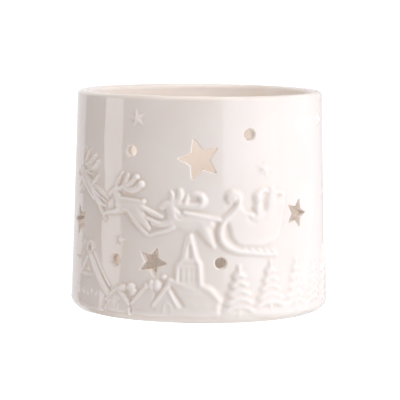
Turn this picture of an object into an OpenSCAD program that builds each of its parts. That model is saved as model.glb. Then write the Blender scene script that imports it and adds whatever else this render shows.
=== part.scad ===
// A pierced porcelain tealight holder with a winter frieze in low relief, and the tealight in it.
// Millimetres, +Z up. The origin is the centre of the foot, on the surface that the holder stands on.
// The front of the frieze faces -Y. Frieze drawings are flat: x runs round the wall, y runs up it.

/* [Drum] */
// Outside diameter of the wall above the rounded foot
base_d = 85; // [82:0.5:100]
// Outside diameter of the wall below the rounded rim
rim_d = 81.4; // [76:0.2:81.4]
// Height of the rim above the table
drum_h = 73; // [72:0.5:90]
// Thickness of the wall, which the rim rounds over
wall_t = 3.2; // [2.8:0.1:3.6]
// Thickness of the floor over the hollow of the foot
floor_t = 3; // [2.5:0.1:4]
// Radius of the outside corner at the foot
foot_round = 4.2; // [3.5:0.1:5]
// Radius of the corner between the inside wall and the floor
cove_round = 4; // [3:0.1:5]
// Width of the bare ring that the holder stands on
foot_w = 4; // [3:0.1:5]
// Depth of the hollow inside the standing ring
foot_hollow = 1.2; // [0.8:0.1:1.5]

/* [Piercings] */
// Radius of the round holes
hole_r = 1.8; // [1.4:0.1:2.2]
// Radius of the stars at their notches, as a share of the radius at their points
star_waist = 0.46; // [0.4:0.01:0.55]

/* [Frieze] */
// How far the relief stands out of the wall
relief_h = 0.9; // [0.6:0.1:1.2]

/* [Tealight] */
// Diameter of the aluminium cup
cup_d = 38; // [36:0.5:39]
// Height of the cup
cup_h = 16; // [14:0.5:18]
// Thickness of the cup's sheet
cup_sheet = 0.3; // [0.25:0.05:0.4]
// Radius of the bead rolled along the cup's edge
cup_bead = 0.55; // [0.45:0.05:0.6]
// Height of the wax
wax_h = 13; // [11:0.5:13]
// Diameter of the wick
wick_d = 1.6; // [1.4:0.1:1.8]
// How far the wick stands out of the wax
wick_free = 7; // [5:0.5:9]
// Diameter of the wick holder's tin plate
plate_d = 12.5; // [10:0.5:14]

/* [Hidden] */
$fn = 96;

base_r = base_d / 2;
rim_r = rim_d / 2;
rim_round = wall_t / 2;
floor_z = foot_hollow + floor_t;
mean_r = (base_r + rim_r) / 2;      // the radius at which frieze drawings have their true width
cut_from = 25;                      // prisms that pierce the wall start this far from the axis
cut_reach = base_r + 5 - cut_from;
root = 1;                           // how deep the relief is sunk in the wall, so that it is one with it
frieze_grow = [1.03, 1.026];        // drawings come out this much larger on the wall
frieze_spread = 1.4;                // and places are moved this far away from the front, at most
frieze_drop = 0.2;
arc_steps = 8;

wax_gap = 0.2;                      // between the wax and what it slides past
wax_chamfer = 0.8;
plate_t = 0.3;
neck_r = 1.5;                       // the crimped tube that grips the wick
neck_h = 5;
crimp = 0.02;                       // how far the wick is squeezed by the tube and the wax
cup_floor_z = floor_z + cup_sheet;
wax_top_z = cup_floor_z + wax_h;

// ---- Helpers ----

function arc(centre, r, from, to) =
    [for (i = [0 : arc_steps]) let (a = from + (to - from) * i / arc_steps)
        centre + r * [cos(a), sin(a)]];

// The wall's outside radius at a height
function wall_r(z) =
    base_r + (rim_r - base_r) * (z - foot_round) / (drum_h - rim_round - foot_round);

// The angle round the wall, in degrees, of a length round it
function turn_of(x) = x / mean_r * 180 / PI;

// The angle and the height, on the wall, of a place on a frieze drawing
function angle_at(x) = turn_of(x + frieze_spread * sin(turn_of(x)));
function height_at(y) = frieze_grow.y * y - frieze_drop;

function star_points(r, turn) =
    [for (i = [0 : 9]) let (q = r * (i % 2 == 0 ? 1 : star_waist), a = turn + 36 * i)
        q * [cos(a), sin(a)]];

// The unit normal of a drawn line at its i-th point
function line_normal(line, i) =
    let (a = line[max(i - 1, 0)], b = line[min(i + 1, len(line) - 1)], d = [b.x - a.x, b.y - a.y])
    [-d.y, d.x] / norm(d);

// Puts a flat drawing on the wall at (x, y) and extrudes it outwards from the axis
module on_wall(x, y) {
    rotate([0, 0, angle_at(x)])
        translate([0, -cut_from, height_at(y)])
            rotate([90, 0, 0])
                linear_extrude(height = cut_reach) scale(frieze_grow) children();
}

// A line with its own half width at each point: [[x, y, half width], ...]
module stroke(line) {
    last = len(line) - 1;
    polygon(concat(
        [for (i = [0 : last]) [line[i].x, line[i].y] + line[i].z * line_normal(line, i)],
        [for (i = [last : -1 : 0]) [line[i].x, line[i].y] - line[i].z * line_normal(line, i)]));
}

// ---- Piercings ----

// Each star: [x, y, radius, turn in degrees]
STARS = [
    [0, 51.8, 6.9, 106], [-14.7, 19.4, 5.1, 69], [35, 34, 4.9, 72], [-48.5, 30.3, 5.2, 107],
    [84, 50, 6.4, 84], [113, 38, 5, 100], [-96, 47, 5.6, 75], [-80, 33, 4.6, 100], [69, 54, 4.8, 80],
];
// Each round hole: [x, y]
HOLES = [
    [-22.6, 53.9], [16.1, 59.5], [6.8, 19.5], [-28, 19.3],
    [76, 34], [78, 64], [100, 58], [124, 54], [-110, 60], [-72, 56], [-67, 42],
];

module piercings() {
    for (s = STARS) on_wall(s[0], s[1]) polygon(star_points(s[2], s[3]));
    for (h = HOLES)
        rotate([0, 0, angle_at(h.x)])
            translate([0, -cut_from, height_at(h.y)])
                rotate([90, 0, 0]) cylinder(r = hole_r, h = cut_reach);
}

// ---- Frieze ----

// Raised stars, which don't pierce the wall: [x, y, radius, turn in degrees]
RAISED_STARS = [
    [-20.6, 64.2, 3.2, 100], [21.4, 48.6, 3.3, 80], [51, 63, 3, 95], [-26, 25.8, 2.2, 80],
    [60, 39.5, 2.4, 80], [92, 63, 3, 90], [-88, 62, 3.2, 100], [128, 64, 3, 75],
];

// A leaping reindeer that faces -x, drawn round the middle of its body
REINDEER = [
    [[-4.6, 0.4, 1.5], [-2, 0, 2.1], [1.5, 0.3, 1.7], [4.6, 0.6, 2]],              // body
    [[-3.6, 0.6, 1.7], [-5.4, 3.2, 1.1], [-6, 4.8, 1]],                            // neck
    [[-5.3, 5.2, 1], [-7, 4.2, 1], [-8.9, 3, 0.6]],                                // head
    [[-5.6, 5.4, 0.5], [-3.2, 6, 0.45], [-0.6, 8, 0.45], [-0.4, 9.4, 0.3]],        // rear antler
    [[-3.4, 5.9, 0.4], [-3, 7.8, 0.35], [-3.6, 9.4, 0.3]],
    [[-1.6, 7.1, 0.4], [0.6, 6.6, 0.4], [1.6, 7.6, 0.3]],
    [[-6, 5.5, 0.45], [-6.3, 7.4, 0.4], [-5.4, 9.2, 0.3]],                         // front antler
    [[-6.3, 7, 0.4], [-7.7, 8, 0.4], [-7.8, 9.2, 0.3]],
    [[-3.8, -0.6, 1], [-6.6, -2.4, 0.6], [-10.2, -2.2, 0.5], [-11.2, -1.6, 0.6]],  // forelegs
    [[-3, -0.8, 1], [-5.4, -4, 0.6], [-8.6, -4.8, 0.5], [-9.4, -4.2, 0.55]],
    [[4.2, 0.2, 1.6], [6.4, -2.4, 0.9], [6.6, -5, 0.5], [7.8, -6.8, 0.55]],        // hind legs
    [[4.6, 0.4, 1.4], [8, -1.2, 0.8], [9.8, -3, 0.5], [12, -3.4, 0.5]],
    [[5.4, 1.4, 0.8], [6.8, 2.8, 0.4]],                                            // tail
];
// Where the reindeer fly: [x, y, tilt in degrees]
TEAM = [[-41.5, 42.6, -34], [-23, 37.2, -14], [-4.6, 32.6, -6]];
// The reins between them and back to the sleigh
REINS = [
    [[-38, 40.5, 0.45], [-33, 38.6, 0.45], [-28, 38, 0.45]],
    [[-19, 36.9, 0.45], [-15.5, 35.2, 0.45], [-11, 33.6, 0.45]],
    [[-1, 33.8, 0.45], [3, 33, 0.45], [7, 33, 0.45]],
];

SLEIGH = [
    [[9.4, 38.4, 0.7], [8.6, 39.6, 0.8], [9.2, 41, 0.8], [10.6, 41.4, 0.8], [12, 40.4, 0.8],
     [12, 38.4, 0.8], [10.4, 35.6, 0.9], [7.8, 32.6, 1], [6.6, 29.4, 1.1], [7, 26, 1.1],
     [9.4, 23.8, 1], [14, 22.6, 0.8], [20, 21.8, 0.7], [27, 21.8, 0.6]],           // dash and runner
    [[9.8, 28.6, 1.2], [13, 28.4, 3.4], [18, 28.6, 4.4], [23, 29.2, 4.2], [26.6, 31.4, 2]],   // tub
    [[8.8, 31, 0.7], [14, 32.6, 0.7], [20, 32.6, 0.7], [25, 34.4, 0.8],
     [28, 38, 0.8], [28, 40, 0.6]],                                                // rail
    [[15, 24.8, 0.5], [14.2, 22.8, 0.5]],                                          // struts
    [[22.6, 25, 0.5], [23.4, 22.2, 0.5]],
];
// The driver, who wears a hood, and the sack behind
DRIVER = [
    [[17.2, 31.5, 2.6], [17.8, 34, 2.3], [18.2, 36.2, 1.5]],
    [[18.2, 37.6, 1.7], [18.4, 39, 1.9], [19.4, 41, 0.9], [21.2, 41.4, 0.5]],
    [[17.6, 35.6, 0.9], [15.4, 34.6, 0.8], [13, 35.2, 0.6]],
];
SACK = [[[22.4, 32.8, 2.4], [23.6, 35.6, 3.2], [23.6, 38.4, 2.2], [23.2, 40.2, 1], [23.4, 41.6, 1.5]]];

// Fir trees: [x, y of the foot, height, width]
TREES = [
    [12.6, 3.2, 15.4, 10.5], [23.4, 4.4, 15.4, 11], [34, 4.2, 16, 10], [44.5, 4.4, 14, 9.5],
    [55.5, 4, 18, 11], [84, 3.6, 17, 11], [93.5, 4.6, 13, 9], [121, 4, 16, 10.5],
    [-123, 4.2, 15, 10], [-97, 4, 17, 11], [-88.5, 4.6, 12.5, 9],
];
// Gabled cottages: [x, y of the ground, width, height of the wall, height of the roof]
COTTAGES = [
    [-39.5, 2.8, 13, 8.4, 9], [-27, 2.6, 7.6, 3.8, 4], [-17, 2.8, 7.8, 3.6, 4.6],
    [70, 3, 13, 6.4, 6], [107, 3, 14, 7, 7], [-109.5, 3, 13, 6.6, 6.4], [-78, 3, 12, 6, 6.4],
];

// The sleigh and the church are drawn where they stand, and each faces straight out at this x
sleigh_x = 18;
church_x = -3;

module drawing(lines) {
    for (line = lines) stroke(line);
}

// Tiers of branches, each wider than the one above it, on a short trunk
module fir_tree(h, w) {
    tiers = 4;
    trunk_w = w * 0.08;
    trunk_h = h * 0.1;
    tier_h = h * 0.2;
    tier_pitch = h * 0.22;
    taper = 0.2;
    tuck = 0.55;                    // how far each tier draws in under the next
    function tip_w(i) = w / 2 * (1 - taper * i);
    function tip_y(i) = trunk_h + tier_pitch * i;
    function tier(i) = [[tip_w(i), tip_y(i)], [tip_w(i) * tuck, tip_y(i) + tier_h]];
    right = concat([[trunk_w, 0], [trunk_w, trunk_h]], [for (i = [0 : tiers - 1]) each tier(i)]);
    left = [for (i = [len(right) - 1 : -1 : 0]) [-right[i].x, right[i].y]];
    polygon(concat(right, [[0, h]], left));
}

// A gable front under a roof that overhangs it
module cottage(w, wall_h, roof_h) {
    eave = 0.9;
    half = w / 2;
    polygon([
        [-half, 0], [half, 0], [half, wall_h - eave], [half + eave, wall_h - eave],
        [half + eave, wall_h], [0, wall_h + roof_h], [-half - eave, wall_h],
        [-half - eave, wall_h - eave], [-half, wall_h - eave]]);
}

// A nave with its gable on the left, and a tower and spire behind it
module church() {
    nave = [[-13.6, 2.6], [6.2, 2.6], [6.2, 7], [7.6, 7.4], [3.6, 11.4], [1.2, 12.6], [-1, 11.4],
            [-8.6, 14.4], [-14, 6.2], [-13.6, 5.6]];
    tower = [[-6.6, 8], [0.8, 8], [0.8, 19.2], [-6.6, 19.2]];
    spire = [[-7.4, 18.8], [1.4, 18.8], [-0.8, 21], [-2.5, 28.4], [-3.3, 28.4], [-5.4, 21]];
    for (outline = [nave, tower, spire]) polygon(outline);
}

// What is drawn comes out as relief: only the part of each prism within the band of wall is kept
module in_relief() {
    intersection() {
        relief_shell();
        union() children();
    }
}

module frieze() {
    in_relief() for (p = TEAM) on_wall(p[0], p[1]) rotate(p[2]) drawing(REINDEER);
    in_relief() for (r = REINS) on_wall(r[0].x, 0) translate([-r[0].x, 0]) stroke(r);
    in_relief() on_wall(sleigh_x, 0) translate([-sleigh_x, 0]) drawing(concat(SLEIGH, DRIVER, SACK));
    in_relief() on_wall(church_x, 0) translate([-church_x, 0]) church();
    in_relief() for (t = TREES) on_wall(t[0], t[1]) fir_tree(t[2], t[3]);
    in_relief() for (c = COTTAGES) on_wall(c[0], c[1]) cottage(c[2], c[3], c[4]);
    in_relief() for (s = RAISED_STARS) on_wall(s[0], s[1]) polygon(star_points(s[2], s[3]));
}

// The band of wall that the relief stands in: it follows the wall's slope
module relief_shell() {
    low = 1;
    high = drum_h - 4;
    past = 1;                       // how far the inner cone runs past both ends of the band
    difference() {
        translate([0, 0, low])
            cylinder(h = high - low, r1 = wall_r(low) + relief_h, r2 = wall_r(high) + relief_h);
        translate([0, 0, low - past])
            cylinder(h = high - low + 2 * past,
                     r1 = wall_r(low - past) - root, r2 = wall_r(high + past) - root);
    }
}

// ---- Pieces ----

// The turned shape: foot ring, rounded foot, sloping wall, rounded rim, cove and floor
module drum() {
    foot_in_r = base_r - foot_round - foot_w;
    inside_top_r = rim_r - wall_t;
    inside_low_r = wall_r(floor_z + cove_round) - wall_t;
    rotate_extrude()
        polygon(concat(
            [[0, foot_hollow], [foot_in_r - foot_hollow, foot_hollow], [foot_in_r, 0]],
            arc([base_r - foot_round, foot_round], foot_round, -90, 0),
            arc([rim_r - rim_round, drum_h - rim_round], rim_round, 0, 180),
            [[inside_top_r, drum_h - rim_round]],
            arc([inside_low_r - cove_round, floor_z + cove_round], cove_round, 0, -90),
            [[0, floor_z]]));
}

module holder_body() {
    color("#f7f2ee")
        difference() {
            union() {
                drum();
                frieze();
            }
            piercings();
        }
}

// A drawn cup with a rounded foot and an edge rolled into a bead
module tealight_cup() {
    outside_r = cup_d / 2 - cup_bead;
    foot_r = 1;
    color("#d5d8da")
        translate([0, 0, floor_z])
            rotate_extrude()
                union() {
                    polygon(concat(
                        [[0, 0]],
                        arc([outside_r - foot_r, foot_r], foot_r, -90, 0),
                        [[outside_r, cup_h - cup_bead], [outside_r - cup_sheet, cup_h - cup_bead]],
                        arc([outside_r - foot_r, foot_r], foot_r - cup_sheet, 0, -90),
                        [[0, cup_sheet]]));
                    translate([outside_r, cup_h - cup_bead]) circle(r = cup_bead, $fn = 24);
                }
}

// A pressed round of wax with a chamfered edge, a bore for the wick and a recess for its plate
module wax() {
    wax_r = cup_d / 2 - 2 * cup_bead - wax_gap;      // it slides out past the cup's bead
    bore_r = wick_d / 2;
    recess_r = plate_d / 2 + wax_gap;
    recess_h = plate_t + wax_gap;
    color("#f6f1e6")
        translate([0, 0, cup_floor_z])
            rotate_extrude()
                polygon([
                    [recess_r, 0], [wax_r - wax_chamfer, 0], [wax_r, wax_chamfer],
                    [wax_r, wax_h - wax_chamfer], [wax_r - wax_chamfer, wax_h],
                    [bore_r, wax_h - wax_chamfer / 2], [bore_r, neck_h + wax_gap],
                    [neck_r + wax_gap, neck_h + wax_gap], [neck_r + wax_gap, recess_h],
                    [recess_r, recess_h]]);
}

// A tin plate with a neck crimped round the wick
module wick_sustainer() {
    color("#b9bcc0")
        translate([0, 0, cup_floor_z])
            rotate_extrude()
                polygon([
                    [wick_d / 2, 0], [plate_d / 2, 0], [plate_d / 2, plate_t], [neck_r, plate_t],
                    [neck_r, neck_h], [wick_d / 2, neck_h]]);
}

// A braided cotton wick, straight from its holder
module wick() {
    color("#efe7d6")
        translate([0, 0, cup_floor_z])
            cylinder(r = wick_d / 2 + crimp, h = wax_top_z - cup_floor_z + wick_free);
}

holder_body();
tealight_cup();
wax();
wick_sustainer();
wick();
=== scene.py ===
"""A pierced porcelain tealight holder with a winter frieze in low relief, and the tealight inside it.

The porcelain is one skin, computed on the unrolled wall, because its relief, its piercings and its glaze are
one surface. Sizes are in millimetres until a mesh is made: x runs round the wall from the front, to the
viewer's right, y and z run up it.
"""
import math
from types import SimpleNamespace

import bmesh
import bpy
import numpy as np
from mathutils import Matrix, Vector
from mathutils.geometry import delaunay_2d_cdt


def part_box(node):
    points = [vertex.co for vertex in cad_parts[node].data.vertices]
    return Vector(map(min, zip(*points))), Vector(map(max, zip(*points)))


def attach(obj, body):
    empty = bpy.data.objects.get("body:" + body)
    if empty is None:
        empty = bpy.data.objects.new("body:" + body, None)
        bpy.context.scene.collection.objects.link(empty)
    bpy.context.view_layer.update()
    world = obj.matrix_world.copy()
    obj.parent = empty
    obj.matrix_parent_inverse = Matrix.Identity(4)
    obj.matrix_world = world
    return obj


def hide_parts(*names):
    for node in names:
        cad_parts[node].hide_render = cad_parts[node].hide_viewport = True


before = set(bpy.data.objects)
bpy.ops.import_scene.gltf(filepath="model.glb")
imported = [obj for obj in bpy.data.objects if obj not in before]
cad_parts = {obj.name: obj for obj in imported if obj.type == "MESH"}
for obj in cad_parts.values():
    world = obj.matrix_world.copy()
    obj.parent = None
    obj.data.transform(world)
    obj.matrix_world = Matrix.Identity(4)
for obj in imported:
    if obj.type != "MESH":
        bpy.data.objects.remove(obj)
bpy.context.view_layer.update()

MM = 0.001


# ---- The drum's sizes, from the CAD model ----

def measure_drum():
    """The turned shape's radii and heights, read from the CAD solid where no relief reaches."""
    co = np.array([v.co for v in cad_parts["holder_body"].data.vertices]) / MM
    radius, z = np.hypot(co[:, 0], co[:, 1]), co[:, 2]
    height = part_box("holder_body")[1].z / MM
    top = radius[z > 0.97 * height]            # the rounded rim
    ring = radius[z < 0.01]                    # the ring that the holder stands on
    d = SimpleNamespace(height=height, rim_r=top.max(), wall=top.max() - top.min(),
                        hollow=z[radius.argmin()], ring_in=ring.min(), ring_out=ring.max(),
                        floor=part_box("tealight_cup")[0].z / MM)
    d.foot_round = 4.2
    d.cove = 4.0
    d.base_r = d.ring_out + d.foot_round
    d.rim_round = d.wall / 2
    d.wall_top = d.height - d.rim_round
    d.mean_r = (d.base_r + d.rim_r) / 2
    d.girth = 2 * math.pi * d.mean_r
    d.foot_t = d.foot_round * (1 - math.pi / 2)
    return d


DRUM = measure_drum()


def wall_r(z):
    """The plain wall's outside radius at a height."""
    share = (z - DRUM.foot_round) / (DRUM.wall_top - DRUM.foot_round)
    return DRUM.base_r + (DRUM.rim_r - DRUM.base_r) * share


def wall_profile(t):
    """Radius, height and outward normal of the plain wall. t is the height, and below the wall it goes on
    round the foot as length along its curve."""
    lean = math.atan2(DRUM.base_r - DRUM.rim_r, DRUM.wall_top - DRUM.foot_round)
    turn = np.clip((DRUM.foot_round - t) / DRUM.foot_round, 0, math.pi / 2)
    on_foot = turn > 0
    r = np.where(on_foot, DRUM.ring_out + DRUM.foot_round * np.cos(turn), wall_r(t))
    z = np.where(on_foot, DRUM.foot_round * (1 - np.sin(turn)), t)
    tilt = np.where(on_foot, -turn, lean)
    return r, z, np.cos(tilt), np.sin(tilt)


# ---- Relief: a height map over the frieze drawing ----

MAP_STEP = 0.1         # the map's spacing
GLAZE_FILL = 0.17      # how far the glaze softens corners
WORN_FILL = 0.42       # and where the mould was worn
WORN_HEIGHT = 0.92     # the share of its height that worn relief keeps
FRESH_X = -38          # the middle of the mould's fresh part
FRESH_HALF = 22        # how far it reaches to either side
WEAR_WIDTH = 12        # and over what length it wears
POOL_AND_SHADE_REACH = 0.55      # how far glaze runs together in corners, and how far the painted shade there reaches
POOL_AND_SHADE_DEPTH = 0.22      # the depth of corner that fills up with glaze and gets the full painted shade

# The drawing comes out a little larger on the wall, as in the CAD model
GROW_X, GROW_Y, DROP, SPREAD = 1.03, 1.026, 0.2, 1.4


def on_wall(x, y):
    """A place on the drawing, as a place on the unrolled wall."""
    return x + SPREAD * np.sin(x / DRUM.mean_r), GROW_Y * y - DROP


def on_drawing(x, y):
    """A place on the unrolled wall, as a place on the drawing."""
    place = x
    for _ in range(4):
        place = x - SPREAD * np.sin(place / DRUM.mean_r)
    return place, (y + DROP) / GROW_Y


def smooth_line(line, steps=6):
    """A curve through the points of a line, with its half width at each."""
    p = np.array(line, float)
    if len(p) < 3:
        return p
    ends = np.vstack([2 * p[0] - p[1], p, 2 * p[-1] - p[-2]])
    out = []
    for i in range(len(p) - 1):
        a, b, c, d = ends[i:i + 4]
        for k in range(steps):
            u = k / steps
            out.append(0.5 * (2 * b + (c - a) * u + (2 * a - 5 * b + 4 * c - d) * u**2
                              + (3 * b - a - 3 * c + d) * u**3))
    out.append(p[-1])
    out = np.array(out)
    out[:, 2] = np.maximum(out[:, 2], 0.12)
    return out


def softened(h, radius):
    """A height map blurred by a Gaussian of that radius. It goes on round the seam."""
    reach = math.ceil(3 * radius / MAP_STEP)
    k = np.arange(-reach, reach + 1)
    weights = np.exp(-0.5 * (k * MAP_STEP / radius)**2)
    weights /= weights.sum()
    across = sum(w * np.roll(h, s, 1) for w, s in zip(weights, k))
    padded = np.pad(across, ((reach, reach), (0, 0)), mode="edge")
    return sum(w * padded[reach + s:reach + s + len(h)] for w, s in zip(weights, k))


class Relief:
    """How far the modelled surface stands out of the wall."""

    def __init__(self):
        self.columns = round(DRUM.girth / MAP_STEP)
        self.step = DRUM.girth / self.columns
        self.rows = math.ceil(DRUM.height / self.step) + 1
        self.h = np.zeros((self.rows, self.columns))

    def window(self, x0, x1, y0, y1):
        """The part of the map in a box, which may cross the seam: its index and its places."""
        i = np.arange(math.floor(x0 / self.step), math.ceil(x1 / self.step) + 1)
        j = np.arange(max(0, math.floor(y0 / self.step)), min(self.rows - 1, math.ceil(y1 / self.step)) + 1)
        x, y = np.meshgrid(i * self.step, j * self.step)
        return np.ix_(j, i % self.columns), x, y

    def raise_to(self, where, h, blend=0.3):
        """Lays a form over what is there, with a soft corner where they meet."""
        old = self.h[where]
        k = np.minimum(blend, np.maximum(h, 0)) + 1e-9
        gap = np.abs(old - h)
        soft = np.where(gap < k, (k - gap)**2 / (4 * k), 0)
        self.h[where] = np.where(h > 0, np.maximum(old, h) + soft, old)

    def rod_share(self, line):
        """Near a line: its window, and how much of its height each place has, from 0 at its edge to 1."""
        p = smooth_line(line)
        w = p[:, 2].max()
        (x0, y0), (x1, y1) = p[:, :2].min(axis=0) - w, p[:, :2].max(axis=0) + w
        where, x, y = self.window(x0, x1, y0, y1)
        best = np.zeros(x.shape)
        for a, b in zip(p[:-1], p[1:]):
            d = b - a
            along = ((x - a[0]) * d[0] + (y - a[1]) * d[1]) / max(d[0]**2 + d[1]**2, 1e-9)
            along = np.clip(along, 0, 1)
            half = a[2] + d[2] * along
            u2 = ((x - a[0] - d[0] * along)**2 + (y - a[1] - d[1] * along)**2) / half**2
            best = np.maximum(best, np.maximum(1 - u2, 0)**0.6 * np.sqrt(half / w))
        return where, best

    def rod(self, line, height):
        """A rounded form that follows a line of (x, y, half width)."""
        where, share = self.rod_share(line)
        self.raise_to(where, height * share)

    def rods(self, lines, height):
        for line in lines:
            self.rod(line, height)

    def groove(self, line, depth):
        """A channel pressed into what is there, down to the plain wall at most."""
        where, share = self.rod_share(line)
        self.h[where] = np.maximum(self.h[where] - depth * share, np.minimum(self.h[where], 0))

    def blob(self, x0, y0, rx, ry, height, turn=0):
        """A rounded lump."""
        r = max(rx, ry)
        where, x, y = self.window(x0 - r, x0 + r, y0 - r, y0 + r)
        c, s = math.cos(math.radians(turn)), math.sin(math.radians(turn))
        u = ((x - x0) * c + (y - y0) * s) / rx
        v = ((y - y0) * c - (x - x0) * s) / ry
        self.raise_to(where, height * np.maximum(1 - u * u - v * v, 0)**0.6)

    def plate(self, outline, height, bevel):
        """A flat form with rounded edges."""
        p = np.array(outline, float)
        where, x, y = self.window(p[:, 0].min(), p[:, 0].max(), p[:, 1].min(), p[:, 1].max())
        rise = np.clip(inside_depth(x, y, p) / bevel, 0, 1)
        self.raise_to(where, height * (1 - (1 - rise)**2)**0.75)

    def star(self, x0, y0, radius, turn, height=0.85):
        """A star whose arms are ridged like folded paper."""
        p = star_points(radius, turn, 0.44) + [x0, y0]
        where, x, y = self.window(x0 - radius, x0 + radius, y0 - radius, y0 + radius)
        self.raise_to(where, height * np.minimum(inside_depth(x, y, p) / (0.34 * radius), 1)**0.8)

    def finish(self):
        """Floods the relief with glaze, which fills its corners, and maps where the glaze lies thick, which
        is also where the colour gets painted shade, and where it lies thin, which gets a painted highlight.
        Only the reindeer and the village at the left came out of a fresh part of the mould."""
        x = (np.arange(self.columns) * self.step + 0.5 * DRUM.girth) % DRUM.girth - 0.5 * DRUM.girth
        worn = np.clip((np.abs(x - FRESH_X) - FRESH_HALF) / WEAR_WIDTH, 0, 1)
        fresh_h = (1 - worn) * softened(self.h, GLAZE_FILL)
        self.h = fresh_h + WORN_HEIGHT * worn * softened(self.h, WORN_FILL)
        # Above 0 in hollows (painted shade and thick glaze), below 0 on crests (painted highlight and thin
        # glaze)
        self.pool = np.clip((softened(self.h, POOL_AND_SHADE_REACH) - self.h) / POOL_AND_SHADE_DEPTH, -1, 1)

    def sample(self, field, x, y):
        """A map's values at any places on the unrolled wall."""
        x, y = on_drawing(x, y)
        u, v = x / self.step, np.clip(y / self.step, 0, self.rows - 1.001)
        i, j = np.floor(u).astype(int), np.floor(v).astype(int)
        fu, fv = u - i, v - j
        i0, i1 = i % self.columns, (i + 1) % self.columns
        low = field[j, i0] * (1 - fu) + field[j, i1] * fu
        high = field[j + 1, i0] * (1 - fu) + field[j + 1, i1] * fu
        return low * (1 - fv) + high * fv


def inside_depth(x, y, p):
    """How far places are inside a closed outline, and 0 outside it."""
    nearest = np.full(x.shape, 1e9)
    inside = np.zeros(x.shape, bool)
    for a, b in zip(p, np.roll(p, -1, axis=0)):
        d = b - a
        along = np.clip(((x - a[0]) * d[0] + (y - a[1]) * d[1]) / max(d @ d, 1e-9), 0, 1)
        nearest = np.minimum(nearest, np.hypot(x - a[0] - d[0] * along, y - a[1] - d[1] * along))
        if a[1] != b[1]:
            crosses = ((a[1] > y) != (b[1] > y)) & (x < d[0] * (y - a[1]) / d[1] + a[0])
            inside ^= crosses
    return np.where(inside, nearest, 0)


def star_points(radius, turn, waist):
    """A five-pointed star's tips and notches in turn. The waist is the notches' share of the radius."""
    q = np.radians(turn + 36 * np.arange(10))
    r = radius * np.where(np.arange(10) % 2 == 0, 1, waist)
    return np.column_stack([r * np.cos(q), r * np.sin(q)])


# ---- The frieze ----

# Cut stars: x, y, radius, turn in degrees. Round holes: x, y. They are where the CAD solid has them.
STARS = [(0, 51.8, 6.9, 106), (-14.7, 19.4, 5.1, 69), (35, 34, 4.9, 72), (-48.5, 30.3, 5.2, 107),
         (84, 50, 6.4, 84), (113, 38, 5, 100), (-96, 47, 5.6, 75), (-80, 33, 4.6, 100), (69, 54, 4.8, 80)]
STAR_WAIST = 0.46
HOLES = [(-22.6, 53.9), (16.1, 59.5), (6.8, 19.5), (-28, 19.3), (76, 34), (78, 64), (100, 58), (124, 54),
         (-110, 60), (-72, 56), (-67, 42)]
HOLE_R = 1.8
# Raised stars, which don't pierce the wall
RAISED_STARS = [(-20.6, 64.2, 3.3, 100), (21.4, 48.6, 3.4, 80), (51, 63, 3, 95), (-26, 25.8, 2.4, 80),
                (60, 39.5, 2.4, 80), (92, 63, 3, 90), (-88, 62, 3.2, 100), (128, 64, 3, 75)]
# Firs: x, y of the foot, height, width. Cottages at the back: x, y, width, wall height, roof height.
FIRS = [(12.6, 3.2, 15.4, 10.5), (23.4, 4.4, 15.4, 11), (34, 4.2, 16, 10), (44.5, 4.4, 14, 9.5),
        (55.5, 4, 18, 11), (84, 3.6, 17, 11), (93.5, 4.6, 13, 9), (121, 4, 16, 10.5), (-123, 4.2, 15, 10),
        (-97, 4, 17, 11), (-88.5, 4.6, 12.5, 9)]
BACK_COTTAGES = [(70, 3, 13, 6.4, 6), (107, 3, 14, 7, 7), (-109.5, 3, 13, 6.6, 6.4), (-78, 3, 12, 6, 6.4)]


def lead_reindeer(r):
    r.rods([
        [(-45.2, 45, 1.8), (-43, 43.2, 2.4), (-40.2, 41, 2.3), (-38, 39, 1.9)],  # body
        [(-45, 45.2, 1.9), (-46.2, 46.8, 1.7), (-46.6, 47.8, 1.5)],  # neck
        [(-46.2, 48, 1.5), (-48, 46.8, 1.3), (-49.8, 45.2, 0.9)],  # head
        [(-39, 40.6, 1.8), (-36.4, 37.6, 1.4), (-34, 34.2, 1), (-32.4, 31.8, 0.7)],  # hind legs
        [(-38.2, 39.4, 1.5), (-35, 37, 1), (-32.6, 36, 0.7)],
    ], 1.25)
    r.rods([
        [(-45.8, 43.6, 1.1), (-48.6, 42.2, 0.8), (-51.4, 41.6, 0.7)],  # forelegs
        [(-44.6, 42.4, 1.1), (-46.8, 40.4, 0.8), (-48.6, 39.4, 0.7)],
        [(-39.4, 42.6, 0.9), (-37.8, 44, 0.95), (-36.6, 45.4, 0.5)],  # tail
        [(-44.4, 46, 0.6), (-42.4, 46.3, 0.75), (-40.6, 45.6, 0.5)],  # ear
        [(-46, 48.8, 0.7), (-45.6, 51, 1), (-45.2, 53.6, 0.5)],  # antlers
        [(-44.8, 48.8, 0.7), (-43, 50.8, 1.05), (-41.8, 53, 0.6)],
        [(-43.6, 48, 0.8), (-40.8, 49.2, 1.15), (-38.4, 51.4, 0.9)],
        [(-42, 47.4, 0.8), (-39, 47.6, 1.05), (-36.8, 49.6, 0.85)],
    ], 1.05)


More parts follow.
